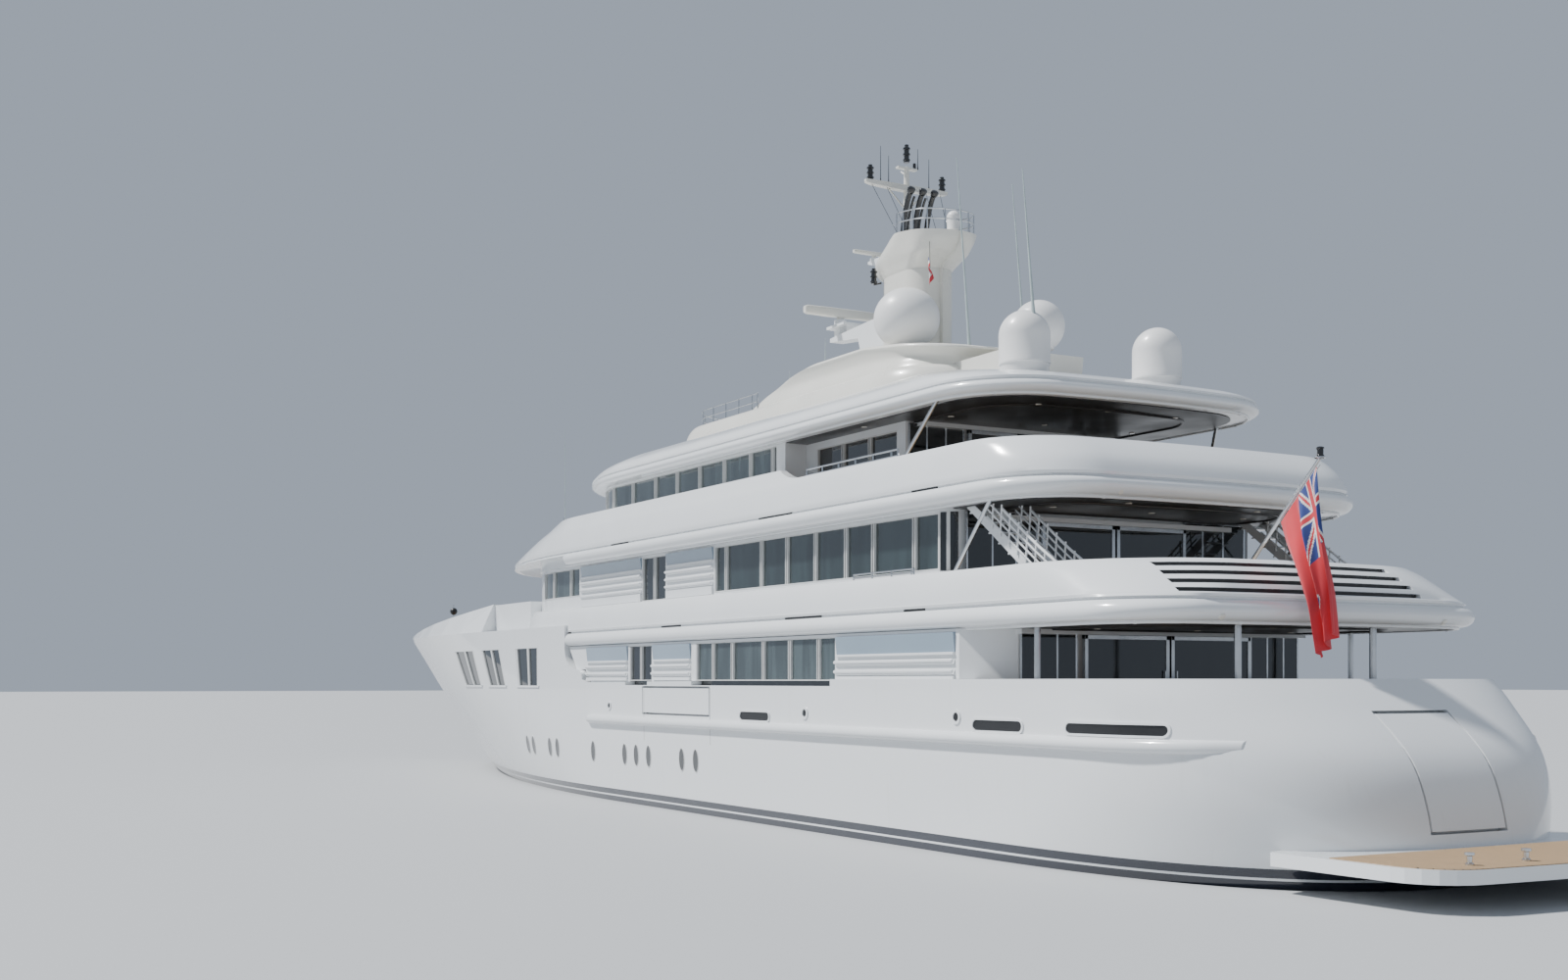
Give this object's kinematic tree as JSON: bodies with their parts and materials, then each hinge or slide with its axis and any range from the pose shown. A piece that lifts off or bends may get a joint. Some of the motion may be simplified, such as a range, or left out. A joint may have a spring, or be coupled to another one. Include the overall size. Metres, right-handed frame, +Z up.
{
  "type": "motor yacht, 1:10 scale model",
  "caption": "White motor yacht with stepped decks, wrapping bulwarks, dark windows, mast with radars and domes, ensign, propellers and rudders.",
  "frame": {"origin": "amidships on the centreline at the waterline, where the ship floats", "axes": "+X towards the bow, +Y to port, +Z up"},
  "size_m": [6.962, 1.131, 2.359],
  "materials": {
    "white_paint": "gloss",
    "cream_paint": "gloss",
    "dark_glass": "gloss",
    "polished_steel": "polished",
    "bronze": "satin",
    "black_paint": "satin",
    "bunting": "matte"
  },
  "bodies": {
    "ship": {"hull": "white_paint", "rub_rail_port": "white_paint", "rub_rail_starboard": "white_paint", "swim_platform": "white_paint", "main_house": "white_paint", "main_glass": "dark_glass", "upper_deck": "white_paint", "foredeck_bulwark": "white_paint", "upper_house": "white_paint", "upper_glass": "dark_glass", "bridge_deck": "white_paint", "bridge_house": "white_paint", "bridge_glass": "dark_glass", "roof": "white_paint", "mast_fairing": "cream_paint", "mast_tower": "cream_paint", "pole_mast": "white_paint", "exhaust_pipes": "black_paint", "dome_port": "white_paint", "dome_small": "white_paint", "dome_aft_port": "white_paint", "dome_aft_starboard": "white_paint", "roof_locker": "cream_paint", "dome_centre": "white_paint", "radar_main_pylon": "white_paint", "radar_small_pylon": "white_paint", "post_aft_port": "polished_steel", "post_aft_starboard": "polished_steel", "post_side_port": "polished_steel", "post_side_starboard": "polished_steel", "stanchion_upper_port": "polished_steel", "stanchion_upper_starboard": "polished_steel", "stanchion_bridge_port": "polished_steel", "stanchion_bridge_starboard": "polished_steel", "stair_port": "white_paint", "stair_starboard": "white_paint", "ensign_staff": "polished_steel", "ensign": "bunting", "shaft_port": "bronze", "shaft_starboard": "bronze"},
    "transom_door": {"transom_door": "white_paint"},
    "shell_door_port": {"shell_door_port": "white_paint"},
    "shell_door_starboard": {"shell_door_starboard": "white_paint"},
    "saloon_door_port": {"saloon_door_port": "dark_glass"},
    "saloon_door_starboard": {"saloon_door_starboard": "dark_glass"},
    "upper_door_port": {"upper_door_port": "dark_glass"},
    "upper_door_starboard": {"upper_door_starboard": "dark_glass"},
    "bridge_door_port": {"bridge_door_port": "dark_glass"},
    "bridge_door_starboard": {"bridge_door_starboard": "dark_glass"},
    "propeller_port": {"propeller_port": "bronze"},
    "propeller_starboard": {"propeller_starboard": "bronze"},
    "rudder_port": {"rudder_port": "white_paint"},
    "rudder_starboard": {"rudder_starboard": "white_paint"},
    "fin_port": {"fin_port": "white_paint"},
    "fin_starboard": {"fin_starboard": "white_paint"},
    "radar_main": {"radar_main_scanner": "white_paint"},
    "radar_small": {"radar_small_scanner": "white_paint"}
  },
  "joints": [
    {"name": "propeller_port_spin", "type": "hinge", "parent": "ship", "child": "propeller_port", "pos_m": [-2.72, 0.2, -0.258], "axis": [1, 0, 0], "continuous": true},
    {"name": "propeller_starboard_spin", "type": "hinge", "parent": "ship", "child": "propeller_starboard", "pos_m": [-2.72, -0.2, -0.258], "axis": [1, 0, 0], "continuous": true},
    {"name": "radar_main_spin", "type": "hinge", "parent": "ship", "child": "radar_main", "pos_m": [-0.77, 0, 1.552], "axis": [0, 0, 1], "continuous": true},
    {"name": "radar_small_spin", "type": "hinge", "parent": "ship", "child": "radar_small", "pos_m": [-0.973, 0, 1.706], "axis": [0, 0, 1], "continuous": true},
    {"name": "rudder_port_turn", "type": "hinge", "parent": "ship", "child": "rudder_port", "pos_m": [-2.9, 0.2, -0.13], "axis": [0, 0, 1], "range_deg": [-35, 35]},
    {"name": "rudder_starboard_turn", "type": "hinge", "parent": "ship", "child": "rudder_starboard", "pos_m": [-2.9, -0.2, -0.13], "axis": [0, 0, 1], "range_deg": [-35, 35]},
    {"name": "fin_port_turn", "type": "hinge", "parent": "ship", "child": "fin_port", "pos_m": [0, 0.401, -0.255], "axis": [0, 0.5657, -0.8246], "range_deg": [-20, 20]},
    {"name": "fin_starboard_turn", "type": "hinge", "parent": "ship", "child": "fin_starboard", "pos_m": [0, -0.401, -0.255], "axis": [0, -0.5657, -0.8246], "range_deg": [-20, 20]},
    {"name": "transom_door_hinge", "type": "hinge", "parent": "ship", "child": "transom_door", "pos_m": [-3.0195, 0, 0.33], "axis": [0, 1, 0], "range_deg": [0, 80]},
    {"name": "shell_door_port_hinge", "type": "hinge", "parent": "ship", "child": "shell_door_port", "pos_m": [-0.687, 0.541, 0.306], "axis": [-1, 0, 0], "range_deg": [0, 90]},
    {"name": "shell_door_starboard_hinge", "type": "hinge", "parent": "ship", "child": "shell_door_starboard", "pos_m": [-0.687, -0.541, 0.306], "axis": [1, 0, 0], "range_deg": [0, 90]},
    {"name": "saloon_door_port_slide", "type": "slide", "parent": "ship", "child": "saloon_door_port", "axis": [0, 1, 0], "range_m": [0, 0.18]},
    {"name": "saloon_door_starboard_slide", "type": "slide", "parent": "ship", "child": "saloon_door_starboard", "axis": [0, -1, 0], "range_m": [0, 0.18]},
    {"name": "upper_door_port_slide", "type": "slide", "parent": "ship", "child": "upper_door_port", "axis": [0, 1, 0], "range_m": [0, 0.15]},
    {"name": "upper_door_starboard_slide", "type": "slide", "parent": "ship", "child": "upper_door_starboard", "axis": [0, -1, 0], "range_m": [0, 0.15]},
    {"name": "bridge_door_port_slide", "type": "slide", "parent": "ship", "child": "bridge_door_port", "axis": [0, 1, 0], "range_m": [0, 0.15]},
    {"name": "bridge_door_starboard_slide", "type": "slide", "parent": "ship", "child": "bridge_door_starboard", "axis": [0, -1, 0], "range_m": [0, 0.15]}
  ],
  "couplings": [
    {"joint": "rudder_starboard_turn", "follows": "rudder_port_turn", "ratio": 1},
    {"joint": "saloon_door_starboard_slide", "follows": "saloon_door_port_slide", "ratio": 1},
    {"joint": "upper_door_starboard_slide", "follows": "upper_door_port_slide", "ratio": 1},
    {"joint": "bridge_door_starboard_slide", "follows": "bridge_door_port_slide", "ratio": 1}
  ]
}
